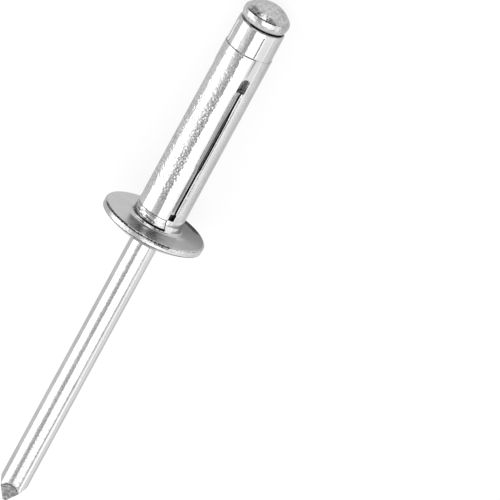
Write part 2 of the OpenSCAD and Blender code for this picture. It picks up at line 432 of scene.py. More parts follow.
def parting(h):
    """How far the middle of a slit is set over at a height."""
    return PARTING * swell(h, nick_top - LEDGE, nick_top) * (1 - swell(h, window_foot, window_foot + LEDGE))


def offsets(h):
    """Sideways places of the columns near a slit."""
    half, middle = half_width(h), parting(h)
    left_edge, right_edge = middle - half, middle + half
    left_side = left_edge - (NEAR_REACH + left_edge) * NEAR_SHARES[::-1]
    right_side = right_edge + (NEAR_REACH - right_edge) * NEAR_SHARES
    return np.concatenate((left_side, middle + half * INSIDE_SHARES, right_side))


def turns_at(h, radius):
    """Angles of all columns of a row, for slit walls that stay parallel down to a radius."""
    near = np.arcsin(offsets(h) / radius)
    far = np.linspace(near[-1], 2 * math.pi / SLITS + near[0], FAR_COLUMNS + 2)[1:-1]
    sector = np.concatenate((near, far))
    return np.concatenate([sector + SLIT_TURN + i * 2 * math.pi / SLITS for i in range(SLITS)])


between = run((0, SLIT_TOP + ROW_GAP), (0, CRIMP_H - CRIMP_LEAD), 7)
outer = below_slits + [(SHANK_R, h) for h in slit_heights] + [(SHANK_R, h) for _, h in between] + crimp
outer += end_bend[1:]
bore = inside[1:] + [(BORE_R, h) for _, h in between[::-1]] + [(BORE_R, h) for h in slit_heights[::-1]]
bore += run((BORE_R, SLIT_FOOT), under[0], 4)
line = np.array(outer + bore)
outer_foot = len(below_slits)
outer_top = outer_foot + len(sides) - 1
bore_top = len(outer) + len(inside[1:]) + len(between)
bore_foot = bore_top + len(sides) - 1
radius, level = line[:, 0], line[:, 1]
depth_share = np.clip((SHANK_R - radius) / (SHANK_R - BORE_R), 0, 1)
turn = np.array([(1 - s) * turns_at(h, SHANK_R) + s * turns_at(h, BORE_R)
                 for h, s in zip(level, depth_share)])
print("grid:", len(line), "rows by", columns, "columns")

# %% [markdown]
# ## Rolled edges and other signs of making
#
# Piercing rolls the edges of a slit inwards, so the tube falls away towards it, further on one side than
# on the other. The roll fades near the nick and the window. The grid has a point wherever the fall has to
# be known, so the roll is simply a depth for each point, taken off its radius in the next step.

# %% Roll the edges
ROLL_HEIGHTS, ROLL_LEFT, ROLL_START, ROLL_END = (6.8, 7.6), (0.47, 0.53), (-0.3, 0.35), (-0.5, 0.35)
ROLL_RIGHT, EDGE_LEFT, EDGE_RIGHT = 0.44, 0.03, 0.2
LEFT_DEPTH, RIGHT_DEPTH, LIP, LEFT_CURVE, RIGHT_CURVE = 0.17, 0.07, 0.03, 1.15, 1.3
ROWS_UNDER_SLITS, ROWS_TO_CRIMP = 4, 12
FAR_AWAY, NEAR_TUBE = 9, 0.02

rows = np.arange(len(line))
high, high_line = level[:, None], radius[:, None]
facing = (np.degrees(turn) + 180) % 360 - 180
in_sector = np.arange(columns) % sector_columns
crimp_edge = outer_top + len(between) + ROWS_TO_CRIMP
on_tube = (rows > outer_foot - ROWS_UNDER_SLITS) & (rows < crimp_edge) & (radius > SHANK_R - NEAR_TUBE)
on_tube = on_tube[:, None]
side = np.array([np.tile(np.pad(offsets(h), (0, FAR_COLUMNS), constant_values=FAR_AWAY), SLITS)
                 for h in level])

rolled = swell(high, nick_top + ROLL_START[0], nick_top + ROLL_START[1])
rolled = rolled * (1 - swell(high, window_foot + ROLL_END[0], window_foot + ROLL_END[1]))
roll_left = np.interp(high, ROLL_HEIGHTS, ROLL_LEFT)
left_fall = np.clip((side + roll_left) / (roll_left - EDGE_LEFT), 0, 1)
right_fall = np.clip((ROLL_RIGHT - side) / (ROLL_RIGHT - EDGE_RIGHT), 0, 1)
on_left = side < np.array([parting(h) for h in level])[:, None]
sink = rolled * np.where(on_left, LEFT_DEPTH * left_fall**LEFT_CURVE, RIGHT_DEPTH * right_fall**RIGHT_CURVE)
first_edge, last_edge = len(NEAR_SHARES), len(NEAR_SHARES) + len(INSIDE_SHARES) - 1
cut_rows = (high >= SLIT_FOOT) & (high <= SLIT_TOP)
sink = sink + LIP * (np.isin(in_sector, (first_edge, last_edge))[None, :] & cut_rows)
print("edges fall by up to", round(float(sink.max()), 3), "mm")

# %% [markdown]
# Between the window and the crimp line, the crimping tool has pressed one side of the tube down to the
# crimped end, with a crease beside it, and its jaws have left two seams on the crimped end. The tube also
# bulges by some thousandths of a millimetre, which makes the reflections run a little unevenly. All of it
# could be sculpted, but a formula for each mark can be measured against the picture and changed later.

# %% Shape the tube
PRESS_DEPTH, PRESS_TURNS, PRESS_END, CRIMP_LIFT = 0.065, (25.4, 26.6), (60, 100), 0.04
FOLD_HALF, PRESS_START, PRESS_STOP = 1.5, 0.15, 0.2
SEAM_TURNS, SEAM_WIDTHS, SEAM_ENDS, SEAM_DEPTH = (-68, 20.3), (6.0, 2.6), (0.12, 0.3), 0.03
BULGE, BULGE_HEIGHTS, BULGE_WAVES = 0.002, (ROOT_H + 0.3, ROOT_H + 2), ((1.3, 2, 0), (0.55, 3, 1))
TOUCH, STEP_REACH = 0.01, (-0.03, 0.12)

fold = np.interp(high, (SLIT_TOP, CRIMP_H), PRESS_TURNS)
pressed = swell(facing, fold - FOLD_HALF, fold + FOLD_HALF) * (1 - swell(facing, *PRESS_END))
sink = sink + PRESS_DEPTH * swell(high, SLIT_TOP - PRESS_START, CRIMP_H - PRESS_STOP) * pressed
on_collar = (high > CRIMP_H + SEAM_ENDS[0]) & (high < SHANK_L - SEAM_ENDS[1]) & (high_line > LIP_R - TOUCH)
fin, seam = (on_collar * np.clip(1 - np.abs(facing - middle) / width, 0, 1)
             for middle, width in zip(SEAM_TURNS, SEAM_WIDTHS))
waves = sum(np.sin(rise * high + count * turn + start) for rise, count, start in BULGE_WAVES)
bulge = BULGE * (waves - len(BULGE_WAVES))
ring = high_line + np.where(on_tube, bulge * swell(high, *BULGE_HEIGHTS) - sink, 0)
ring = ring + SEAM_DEPTH * (fin - seam)
low_r = CRIMP_R - CRIMP_LINE_DEPTH
tube_share = (high_line - low_r) / (SHANK_R - low_r)
collar_share = np.clip((high_line - low_r) / (CRIMP_R - low_r), 0, 1)
flatter = np.where(high > CRIMP_H, CRIMP_LIFT * (1 - collar_share),
                   CRIMP_LIFT * (1 - tube_share) - PRESS_DEPTH * tube_share)
in_step = ((rows > outer_top) & (rows < len(outer)))[:, None]
in_step = in_step & (high > CRIMP_H + STEP_REACH[0]) & (high < CRIMP_H + STEP_REACH[1])
ring = np.where(in_step, high_line + bulge * tube_share * (high <= CRIMP_H) + pressed * flatter, ring)
print("the tool has pressed the tube in by", PRESS_DEPTH, "mm")

# %% [markdown]
# The feet of the legs are not alike either. The leg on the left has been drawn in above a deep groove, while
# the leg on the right flows into the seat face, and a slanting crease under the nick parts them.

# %% Shape the root
GROOVE_EXTRA = 0.07
CREASE_HEIGHTS, CREASE_TURNS, CREASE_HALF = (0.3, 1.05), (27.5, 22.3), 1.2
SMOOTH_HEIGHT, FLOW_END = 0.75, (143, 149)

in_root = ((rows >= len(below_root)) & (rows < outer_foot))[:, None]
crease = np.interp(high, CREASE_HEIGHTS, CREASE_TURNS)
flowing = swell(facing, crease - CREASE_HALF, crease + CREASE_HALF) * (1 - swell(facing, *FLOW_END))
smooth_r = np.interp(high, (fillet[-1][1], SMOOTH_HEIGHT, ROOT_H), (fillet[-1][0], SHANK_R, SHANK_R))
in_groove = np.clip(1 - np.abs(high - FILLET) / (GROOVE_W / 2), 0, 1) * (1 - flowing) * in_root
ring = np.where(in_root, ring + flowing * (smooth_r - high_line) - GROOVE_EXTRA * in_groove, ring)
body_points = np.stack((ring * np.cos(turn), ring * np.sin(turn), np.broadcast_to(high, ring.shape)), -1)
body_points = body_points.reshape(-1, 3)
print("groove under the left leg is", round(GROOVE_DEPTH + GROOVE_EXTRA, 2), "mm deep")

# %% [markdown]
# ## From grid to mesh
#
# The section is a closed loop, so the grid closes on itself in both directions like a torus. The cells
# between the two edges of a slit are left out on the outside and on the bore, and strips of new faces
# along the edges join them through the wall. The lines between the strips let the painted shade in the
# slit start close under the outside. The result is one closed surface without inner faces.

# %% Body faces
WALL_SHARES = (0.05, 0.18, 0.4)
# The walls of a slit get painted shade, one value for each line between the strips from the outside inwards,
# darkest in the nick. Near the top of the window a painted highlight runs along the right wall.
WALL_SHADE = {"nick": (1, 1, 1), "slit": (0.9, 1, 0.4), "gape": (1, 0.95, 0.3),
             "window": (0.48, 0.48, 0.3), "bright": (0, 0, 0.2)}
BRIGHT_REACH, BRIGHT_LINES = 0.25, 2


def wall_zone(h, column):
    """Which part of a slit a point of its edge belongs to."""
    if h > window_foot:
        bright = h > window_mid - BRIGHT_REACH and column == last_edge
        return "bright" if bright else "window"
    return "nick" if h < nick_top else "gape" if gape[0] < h < gape[1] else "slit"


def cell_faces(row_count, column_count, closed):
    """Quads of a grid as a table: one row of quads for each step along the section."""
    i = np.arange(row_count if closed else row_count - 1)[:, None]
    j = np.arange(column_count)[None, :]
    up, next_one = (i + 1) % row_count, (j + 1) % column_count
    this_row, next_row = i * column_count, up * column_count
    parts = (this_row + j, this_row + next_one, next_row + next_one, next_row + j)
    return np.stack(np.broadcast_arrays(*parts), -1)


grid = cell_faces(len(line), columns, True)
keep = np.ones(grid.shape[:2], bool)
open_cells = (in_sector >= first_edge) & (in_sector < last_edge)
keep[np.ix_((rows >= outer_foot) & (rows < outer_top), open_cells)] = False
keep[np.ix_((rows >= bore_top) & (rows < bore_foot), open_cells)] = False
faces = [tuple(f) for f in grid[keep]]
top_step = len(sides) - 1
edge_loop = [(k, last_edge) for k in range(top_step + 1)]
edge_loop += [(top_step, j) for j in range(last_edge - 1, first_edge, -1)]
edge_loop += [(k, first_edge) for k in range(top_step, -1, -1)]
edge_loop += [(0, j) for j in range(first_edge + 1, last_edge)]
wall_points, wall_shade, wall_bright, wall_rough = np.empty((0, 3)), [], [], []
for i in range(SLITS):
    outside = [(outer_foot + k) * columns + i * sector_columns + j for k, j in edge_loop]
    within = [(bore_foot - k) * columns + i * sector_columns + j for k, j in edge_loop]
    rings = [outside]
    for depth, share in enumerate(WALL_SHARES):
        first = len(body_points) + len(wall_points)
        rings.append(range(first, first + len(edge_loop)))
        between_walls = (1 - share) * body_points[outside] + share * body_points[within]
        wall_points = np.vstack((wall_points, between_walls))
        zones = [wall_zone(slit_heights[k], j) for k, j in edge_loop]
        wall_shade += [WALL_SHADE[zone][depth] for zone in zones]
        wall_bright += [zone == "bright" and depth < BRIGHT_LINES for zone in zones]
        wall_rough += [zone not in ("nick", "slit") and depth > 0 for zone in zones]
    for upper, lower in zip(rings, rings[1:] + [within]):
        for n in range(len(edge_loop)):
            m = (n + 1) % len(edge_loop)
            faces.append((upper[n], upper[m], lower[m], lower[n]))
print("body faces:", len(faces), "with", len(wall_points), "points in the walls of the slits")

# %% [markdown]
# ## Making the pieces
#
# One function turns points and faces into a Blender object. It drops the points that no face uses, stores
# the upright position of each point for the materials, shades smooth, and marks the edges that are
# really sharp. The object stands for its CAD node, which it hides, and it rides on the body named root.

# %% Piece maker
SHARP = math.radians(32)


def make_piece(name, node, points, faces, masks):
    """A closed mesh that stands for a CAD node, with masks that its material reads."""
    used = np.unique(np.concatenate([np.asarray(f) for f in faces]))
    new_index = np.full(len(points), -1)
    new_index[used] = np.arange(len(used))
    mesh = bpy.data.meshes.new(name)
    mesh.from_pydata(lie_down(points[used]).tolist(), [], [[int(new_index[v]) for v in f] for f in faces])
    mesh.validate()
    mesh.shade_smooth()
    mesh.set_sharp_from_angle(angle=SHARP)
    place = mesh.attributes.new("upright_mm", "FLOAT_VECTOR", "POINT")
    place.data.foreach_set("vector", points[used].astype(np.float32).ravel())
    for key, values in masks.items():
        mask = mesh.attributes.new(key, "FLOAT", "POINT")
        mask.data.foreach_set("value", np.asarray(values, np.float32)[used])
    piece = bpy.data.objects.new(name, mesh)
    scene.collection.objects.link(piece)
    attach(piece, "root")
    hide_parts(node)
    triangles = sum(len(p.vertices) - 2 for p in mesh.polygons)
    print(name, "has", len(mesh.vertices), "points and", triangles, "triangles")
    return piece


# %% [markdown]
# ## Wear, painted highlight and painted shade on the body
#
# Tumbling, handling and the crimping tool have marked the body, each in its own places, and some masks paint
# highlight and shade on it as well. The marks could be painted on a picture that is wrapped round the mesh.
# Here each kind is a mask instead, one number for each point, worked out from its height, its radius and the
# turn that it faces, so the marks stay clear in any view and follow the shape. The skin of the tube is pitted
# and flecked, most of all along the band that mirrors the unlit room, the rim has flecks too, and the
# wrinkles of the drawn-in root are painted shade, dark lines in a tone of their own.

# %% Pits, flecks and painted shade of the wrinkles
PITTED_HEIGHTS, SMOOTHER_HEIGHTS = (2.5, 5.0), (12.5, 16.0)
CLEAN_TURNS, BACK_TURNS = (-6, 2, 60, 90), (90, 110)
SMOOTHED, PLAIN_PITS, ROOT_PITS = 0.5, 0.2, 0.5
BAND_TURNS, LEFT_TURNS, RIGHT_TURNS = (-25, -16, -5.5, -3.5), (-88, -70, -52, -44), (44, 50, 80, 95)
FLECK_HEIGHTS, FLECK_SHARES = (1.5, 4.5, 12.5, 14.5, SHANK_L), (0.2, 1.0, 1.0, 0.55, 0.35)
RIM_TOP, SPECK_FOOT, BEND_FOOT = -0.05, -0.4, -0.45
RIM_FLECKS, RIM_SPECKS, SPECK_TURNS = 0.3, 0.5, (0, 8, 26, 32)
MIDDLE_TURNS, MIDDLE_FLECKS = (-30, -22, -3, 1), (0.3, 0.55, 0.55, 0.3)
WRINKLE_FOOT, WRINKLE_TOP = (0.42, 0.5), (0.9, 1.1)
RIGHT_WRINKLES, RIGHT_FADE = (-12, 10), 0.7
TOP_WRINKLES, TOP_FADE = (-35, -20), 0.45


def plateau(value, low, top, edge, end):
    """One between a smooth step up and a smooth step down."""
    return swell(value, low, top) * (1 - swell(value, edge, end))


def strongest(*marks):
    """The strongest of several marks at each point, each given as an amount and a mask."""
    return np.maximum.reduce(np.broadcast_arrays(*(amount * mask for amount, mask in marks)))


tube_pits = swell(high, *PITTED_HEIGHTS) * (1 - SMOOTHED * swell(high, *SMOOTHER_HEIGHTS))
worn = (1 - plateau(facing, *CLEAN_TURNS)) * (1 - SMOOTHED * swell(abs(facing), *BACK_TURNS))
pitted = strongest((1, np.where(on_tube, tube_pits, PLAIN_PITS) * worn), (ROOT_PITS, in_root * (1 - flowing)))

on_outside = (high > ROOT_H) & (high_line > LIP_R - TOUCH)
on_rim = (high_line > FLANGE_R - RIM_R) & (high < RIM_TOP)
on_bend = (high_line > FLANGE_R - RIM_R + TOUCH) & (high > BEND_FOOT)
in_band = plateau(facing, *BAND_TURNS)
thickly = on_outside * np.interp(high, FLECK_HEIGHTS, FLECK_SHARES)
speckled = RIM_FLECKS + RIM_SPECKS * plateau(facing, *SPECK_TURNS) * (high > SPECK_FOOT)
flecked = strongest((1, thickly * in_band), (0.6, thickly * plateau(facing, *LEFT_TURNS)),
                    (0.2, on_outside * plateau(facing, *RIGHT_TURNS)), (1, on_rim * speckled),
                    (1, on_rim * np.interp(facing, MIDDLE_TURNS, MIDDLE_FLECKS)))

# The wrinkles are painted shade: dark lines where the folds of the root would be shaded.
wrinkle_shade = in_root * (1 - flowing) * swell(high, *WRINKLE_FOOT)
wrinkle_shade = wrinkle_shade * (1 - RIGHT_FADE * swell(facing, *RIGHT_WRINKLES))
wrinkle_shade = wrinkle_shade * (1 - TOP_FADE * swell(high, *WRINKLE_TOP) * swell(facing, *TOP_WRINKLES))
print("points that are pitted:", np.sum(pitted > 0.5), "and flecked:", np.sum(flecked > 0.5))

# %% [markdown]
# A paler tone paints highlight and sheen where the metal should mirror more light: on the right leg beside
# the slit, the foot of the tube, the smooth root, parts of the rim and two patches of the seat face. On the
# fin of the crimped end, which the jaws pressed, the same tone stands for rubbed metal. The seat face and the
# rim also blur what they mirror, the seat face most of all in those patches.

# %% Painted highlights and rubbed metal
LEG_SHINE, LEG_TURNS, LEG_EDGE, LEG_EDGE_SHINE = 0.36, (40, 46, 52, 68), (47, 3), (0.55, 0.35)
FIN_SHARES, TUBE_FOOT, TUBE_FOOT_END = (0.2, 0.55), 0.8, (1.9, 3.2)
SEAT_LEVELS, SEAT_START = (-0.001, 0.02), 0.1
FOOT_TOP, FOOT_REACH, FOOT_TURNS = 0.5, 0.5, (24, 34, 55, 80)
SPOT_R, SPOT_TURN, SPOT_BLUR = (3.15, 0.4), (-9, 6), 0.6
SEAT_SHEEN_R, SEAT_SHEEN_TURNS, SEAT_SHEEN_RISE, SEAT_SHEEN_BASE, SEAT_SHEEN_MORE = (3.3, 0.5), (-4, 2, 24, 40), (13, 17), 0.5, 0.4
RIM_SHINE_TURNS = (-28, -20, -2, 3, 28, 45, 100, 120)
RIM_SHINE = (0, 0.3, 0.4, 0.1, 0.1, 0.4, 0.4, 0)
FLOW_SHINE, FLOW_MORE, FLOW_RISE, FLOW_FALL = 0.12, 0.45, (40, 60), (95, 120)
BLUR_TURNS = (-90, -60, -28, -14, 6, 14, 24, 50)
BLUR_AMOUNTS = (0.2, 0.24, 0.24, 0.12, 0.14, 0.45, 0.45, 0.2)


def peak(value, middle, width):
    """A smooth hump of height one about a middle."""
    return np.exp(-((value - middle) / width)**2)


on_seat_face = (high > SEAT_LEVELS[0]) & (high < SEAT_LEVELS[1]) & (high_line > foot - SEAT_START)
at_foot = (high > SEAT_LEVELS[0]) & (high < FOOT_TOP) & (high_line < foot + FOOT_REACH)
leg_edge = np.interp(high, ROLL_HEIGHTS, LEG_EDGE_SHINE) * rolled * peak(facing, *LEG_EDGE)
tube_foot = in_band * (high > TUBE_FOOT) * (1 - swell(high, *TUBE_FOOT_END))
spot = peak(high_line, *SPOT_R) * peak(facing, *SPOT_TURN)
seat_sheen_patch = (SEAT_SHEEN_BASE + SEAT_SHEEN_MORE * swell(facing, *SEAT_SHEEN_RISE)) * plateau(facing, *SEAT_SHEEN_TURNS)
seat_sheen_patch = seat_sheen_patch * peak(high_line, *SEAT_SHEEN_R)
flow_shine = (FLOW_SHINE + FLOW_MORE * swell(facing, *FLOW_RISE)) * (1 - swell(facing, *FLOW_FALL))
# Painted highlight and sheen, and rubbed metal on the fin.
highlit_and_rubbed = strongest((1, on_outside * (LEG_SHINE * plateau(facing, *LEG_TURNS) + leg_edge)),
                      (1, swell(fin, *FIN_SHARES)), (0.27, tube_foot), (0.27, on_seat_face),
                      (1, on_seat_face * spot), (1, on_seat_face * seat_sheen_patch),
                      (1, (on_rim | on_bend) * np.interp(facing, RIM_SHINE_TURNS, RIM_SHINE)),
                      (0.12, at_foot * plateau(facing, *FOOT_TURNS)), (1, in_root * flowing * flow_shine))
blur = np.interp(facing, BLUR_TURNS, BLUR_AMOUNTS) + SPOT_BLUR * spot
blurred = strongest((0.25, on_rim), (1, blur * on_seat_face))
print("points that are burnished:", np.sum(highlit_and_rubbed > 0.25))

# %% [markdown]
# Other places get painted shade, a darker tone where shade and dark reflections would fall: the seat face
# behind the right leg and the fillet there, the left of the root and of the rim, the rolled edges of the
# slit, the edge of the band on the tube, and the crease beside the pressed side of the tube.

# %% Painted shade
SEAT_SHADE_TURNS = (20, 50, 70, 90, 120, 150, 175)
SEAT_SHADE = (0, 0.47, 0.55, 0.78, 0.95, 0.98, 0)
SEAT_SHADE_REACH, SEAT_SHADE_SIDE = (-0.1, 0.7), (55, 85)
FILLET_TURNS, ROOT_TURNS, BAND_EDGE = (60, 85, 150, 175), (35, 55, 85, 100), (-19, 6)
RIM_SHADE_TURNS, RIM_SHADE = (-45, -32, -16, 2, 8), (0.12, 0.22, 0.22, 0.12, 0)
ROLL_EDGE, BESIDE_SLIT = (0.05, 0.2), 1
FOLD_WIDTHS, FOLD_SHADE, FOLD_START = (2.0, 3.0), (0.5, 0.85), (-0.1, 0.5)

seat_share = strongest((1, swell(high_line - foot, *SEAT_SHADE_REACH)), (1, swell(facing, *SEAT_SHADE_SIDE)))
seat_shade = on_seat_face * seat_share * np.interp(facing, SEAT_SHADE_TURNS, SEAT_SHADE)
fillet_shade = at_foot * ~on_seat_face * plateau(facing, *FILLET_TURNS)
on_roll = on_tube * rolled * (side < BESIDE_SLIT)
left_roll = on_roll * on_left * swell(left_fall, *ROLL_EDGE)
right_roll = on_roll * ~on_left * swell(right_fall, *ROLL_EDGE)
fold_width, fold_shade = (np.interp(high, (SLIT_TOP, CRIMP_H), ends) for ends in (FOLD_WIDTHS, FOLD_SHADE))
press_line = on_tube * fold_shade * peak(facing, fold, fold_width) * swell(high - SLIT_TOP, *FOLD_START)
# All of these are painted shade.
painted_shade = strongest((1, seat_shade), (0.28, fillet_shade), (0.4, in_root * plateau(-facing, *ROOT_TURNS)),
                   (1, on_rim * np.interp(facing, RIM_SHADE_TURNS, RIM_SHADE)),
                   (0.25, on_tube * peak(facing, *BAND_EDGE)), (0.5, left_roll), (0.22, right_roll),
                   (1, press_line))
print("points that are dulled:", np.sum(painted_shade > 0.25))

# %% [markdown]
# One mask darkens the body almost to black, and most of it is painted shade: in the slits, in the groove of
# the root and its crease, along the top of the root, in the gap under the head, along the crimp line and the
# bends of the rolled edges, on the far part of the seat face and along the edges of the rim, where it paints
# a dark reflection too. Along the seams, beside the fins and in specks on the rim it is dark soil from the
# machines. A mask of one is solid dark, and about a half leaves separate specks.

# %% Soil and painted shade
RIM_LINE_TURNS = (-78, -68, -30, -15, 0, 6, 27, 30, 60)
RIM_LINE_HEIGHTS = (-0.07, -0.07, -0.07, -0.13, -0.14, -0.14, -0.13, -0.05, -0.045)
RIM_LINE_AMOUNTS = (0.3, 0.68, 0.72, 0.68, 0.66, 0.72, 0.7, 0.42, 0.48)
RIM_LINE_W, RIM_LINE_CORE = 0.15, 1.3
RIM_FOOT_W, RIM_FOOT_REACH = 0.07, 0.05
FAR_R, FAR_TURNS = (3.5, 4.7), (105, 130, 160, 178)
GAP_FADE, GAP_TURNS, GROOVE_FADE, GROOVE_TURNS, GROOVE_FILL = 0.57, (15, 45), 0.36, (9, 24), 3.4
ROOT_LINE, ROOT_LINE_W, ROOT_LINE_CORE, CREASE_W = ROOT_H - 0.03, 0.04, 1.4, 1.7
LEFT_LINE, LEFT_LINE_W, LEFT_FADE_HEIGHTS, LEFT_AMOUNTS = (-0.29, -0.45), 0.05, (7, 7.6), (1, 0.7)
RIGHT_LINE, EDGE_SPECK_TURNS = (0.375, 0.04), (1, 6, 27, 30)
FIN_LINES = ((-61.5, 2.5), (-77, 3))
CRIMP_LINE, CRIMP_LINE_HALF, CRIMP_FADE, CRIMP_TURNS = CRIMP_H + 0.03, 0.05, 0.6, (20, 30)


def line_about(value, middle, width, core):
    """A line with a solid core that fades to both sides."""
    return np.clip(core - np.abs(value - middle) / width, 0, 1)


line_height, line_amount = (np.interp(facing, RIM_LINE_TURNS, values)
                            for values in (RIM_LINE_HEIGHTS, RIM_LINE_AMOUNTS))
rim_line = on_bend * line_about(high, line_height, RIM_LINE_W, RIM_LINE_CORE) * line_amount
rim_foot = (np.abs(high + RIM_T) < RIM_FOOT_W) & (high_line > FLANGE_R - RIM_FOOT_REACH)
rim_specks = on_rim * (high > SPECK_FOOT) * plateau(facing, *EDGE_SPECK_TURNS)
far_edge = on_seat_face * swell(high_line, *FAR_R) * plateau(facing, *FAR_TURNS)
in_gap = (rows == len(outer) - 1)[:, None] * (1 - GAP_FADE * swell(-facing, *GAP_TURNS))
groove_shade = np.minimum(1, GROOVE_FILL * in_groove) * (1 - GROOVE_FADE * swell(-facing, *GROOVE_TURNS))
root_line = in_root * line_about(high, ROOT_LINE, ROOT_LINE_W, ROOT_LINE_CORE) * (1 - flowing)
crease_line = in_root * peak(facing, crease, CREASE_W)
left_line = on_tube * rolled * peak(side, np.interp(high, ROLL_HEIGHTS, LEFT_LINE), LEFT_LINE_W)
left_line = left_line * np.interp(high, LEFT_FADE_HEIGHTS, LEFT_AMOUNTS)
right_line = on_tube * rolled * peak(side, *RIGHT_LINE)
fin_lines = on_collar * strongest(*((1, peak(facing, *fin_line)) for fin_line in FIN_LINES))
crimp_line = (np.abs(high - CRIMP_LINE) < CRIMP_LINE_HALF) & (high_line < CRIMP_R)
crimp_line = crimp_line * (1 - CRIMP_FADE * swell(facing, *CRIMP_TURNS))
# Painted shade in the gap, the groove, the crease, the root line, the crimp line, the rolled edges, the rim
# and the far seat face, with a painted dark reflection at the rim; dark soil along the seams, fin lines and
# specks.
soiled_and_shaded = strongest((1, in_gap), (1, groove_shade), (1, rim_line), (0.68, rim_foot), (0.55, rim_specks),
                   (0.74, far_edge), (0.75, root_line), (0.85, crease_line), (0.5, crimp_line),
                   (1, seam), (0.6, fin_lines), (0.95, left_line), (0.88, right_line))
print("points that are soiled:", np.sum(soiled_and_shaded > 0.5))

# %% [markdown]
# With its masks ready, the body can be made. The walls of the slits are not part of the grid, so their own
# painted shade, painted highlight and blur follow the grid's values, and the other masks are nought there.

# %% Body piece
no_wall = np.zeros(len(wall_points))
body_masks = {"pitted": (pitted, no_wall), "painted_shade": (painted_shade, no_wall), "soiled_and_shaded": (soiled_and_shaded, wall_shade),
              "flecked": (flecked, no_wall), "wrinkle_shade": (wrinkle_shade, no_wall),
              "highlit_and_rubbed": (highlit_and_rubbed, wall_bright), "blurred": (blurred, wall_rough)}
body_masks = {key: np.append(np.broadcast_to(values, ring.shape).ravel(), walls)
              for key, (values, walls) in body_masks.items()}
body = make_piece("slit_body", "rivet_body", np.vstack((body_points, wall_points)), faces,
                  body_masks)

# %% [markdown]
# ## The pull stem
#
# The stem is drawn wire. One end is upset to a head with a bulging belt and a flatter crown, and the other
# end is pinched to a point by four jaws. Both could be added to a cylinder, but one section for the whole
# stem keeps it a single closed surface. The belt and the crown are two arcs that meet in a crease, and the
# place of the crease follows from the two circles.

# %% Stem section
STEM_R, STEM_OUT = 1.35, 31.0
NECK_H, NECK_R = 9.4, 0.95
POINT_L, POINT_FLAT, POINT_LEAD = 2.15, 0.3, 0.5
HEAD_R, HEAD_H, BELT_H, BELT_R, CROWN_R = 2.302, 2.24, 0.78, 1.2, 2.85
BROW_ROUND, CROWN_TURN = 0.04, 89.2
STEM_COLUMNS = 144

crown_mid, belt_mid = (0, SHANK_L + HEAD_H - CROWN_R), (HEAD_R - BELT_R, SHANK_L + BELT_H)
gap = math.hypot(belt_mid[0], belt_mid[1] - crown_mid[1])
lean = math.atan2(belt_mid[1] - crown_mid[1], belt_mid[0])
spread = math.acos((gap**2 + CROWN_R**2 - BELT_R**2) / (2 * gap * CROWN_R))
crease_turn = math.degrees(lean - spread)
crease_r = CROWN_R * math.cos(math.radians(crease_turn))
crease_h = crown_mid[1] + CROWN_R * math.sin(math.radians(crease_turn))
belt_end = math.degrees(math.atan2(crease_h - belt_mid[1], crease_r - belt_mid[0]))
belt_start = math.degrees(math.asin(-BELT_H / BELT_R))
crown = arc(crown_mid, CROWN_R, CROWN_TURN, crease_turn, 26)
belt = arc(belt_mid, BELT_R, belt_end, belt_start, 16)
brow = rounded(crown[-2], crown[-1], belt[1], BROW_ROUND)
neck_rise = STEM_R - NECK_R
shaft = trace(chain(belt[-1], (STEM_R, SHANK_L, 0, 10), (STEM_R, NECK_H + neck_rise, 0, 3),
                    (NECK_R, NECK_H, 0, 3), (STEM_R, NECK_H - neck_rise, 0, 8), (STEM_R, -FLANGE_T)))
point_start = POINT_LEAD + POINT_L - STEM_OUT
drawn = [(STEM_R, h) for h in np.linspace(-FLANGE_T, point_start, 60)[1:]]
pinch = [(STEM_R, h) for h in np.linspace(point_start, -STEM_OUT, 46)[1:]]
stem_line = np.array(crown[:-2] + brow + belt[2:-1] + shaft + drawn + pinch)[::-1]
print("stem section:", len(stem_line), "points, head's crease at", round(crease_r, 3), round(crease_h, 3))

# %% [markdown]
# The four flats of the point could be cut with Booleans. Here each column's radius is simply the lesser of
# the stem's radius and the distance to the nearest flat, joined softly so that the ridges are not
# knife-sharp. A fan of triangles closes each end.

# %% Stem mesh
RIDGE, POINT_MARGIN = 0.035, 0.1
stem_turn = np.arange(STEM_COLUMNS) * 2 * math.pi / STEM_COLUMNS
stem_radius = np.repeat(stem_line[:, :1], STEM_COLUMNS, 1)
stem_level = np.repeat(stem_line[:, 1:], STEM_COLUMNS, 1)
flat_at = POINT_FLAT / 2 + (stem_level + STEM_OUT) * (STEM_R - POINT_FLAT / 2) / POINT_L
flat_radius = flat_at / np.maximum(np.abs(np.cos(stem_turn)), np.abs(np.sin(stem_turn)))
near_point = stem_level < point_start + POINT_MARGIN
lesser = np.minimum(stem_radius, flat_radius)
closeness = np.clip(RIDGE - np.abs(stem_radius - flat_radius), 0, None) / RIDGE
stem_radius = np.where(near_point, lesser - closeness**2 * RIDGE / 4, stem_radius)
stem_points = np.stack((stem_radius * np.cos(stem_turn), stem_radius * np.sin(stem_turn), stem_level), -1)
stem_faces = [tuple(f) for f in cell_faces(len(stem_line), STEM_COLUMNS, False).reshape(-1, 4)]
top, bottom = len(stem_line) * STEM_COLUMNS, len(stem_line) * STEM_COLUMNS + 1
stem_points = np.vstack((stem_points.reshape(-1, 3), (0, 0, SHANK_L + HEAD_H), (0, 0, -STEM_OUT)))
last_ring = (len(stem_line) - 1) * STEM_COLUMNS
for j in range(STEM_COLUMNS):
    k = (j + 1) % STEM_COLUMNS
    stem_faces.append((last_ring + j, last_ring + k, top))
    stem_faces.append((k, j, bottom))
print("stem faces:", len(stem_faces))

# %% [markdown]
# The stem has masks of the same kind. They say where it was upset, where the jaws have torn it, where a
# painted dark reflection lies on the crown and painted shade on the head's right flank, where a painted sheen
# brightens it, and where it is painted dark: with painted shade in the gap under the head and along the brow
# of the head, and darker beside the torn flats. The part inside the tube is kept matt, so that it doesn't
# glint through the slits, and it is painted paler, which lifts the shade inside the tube.

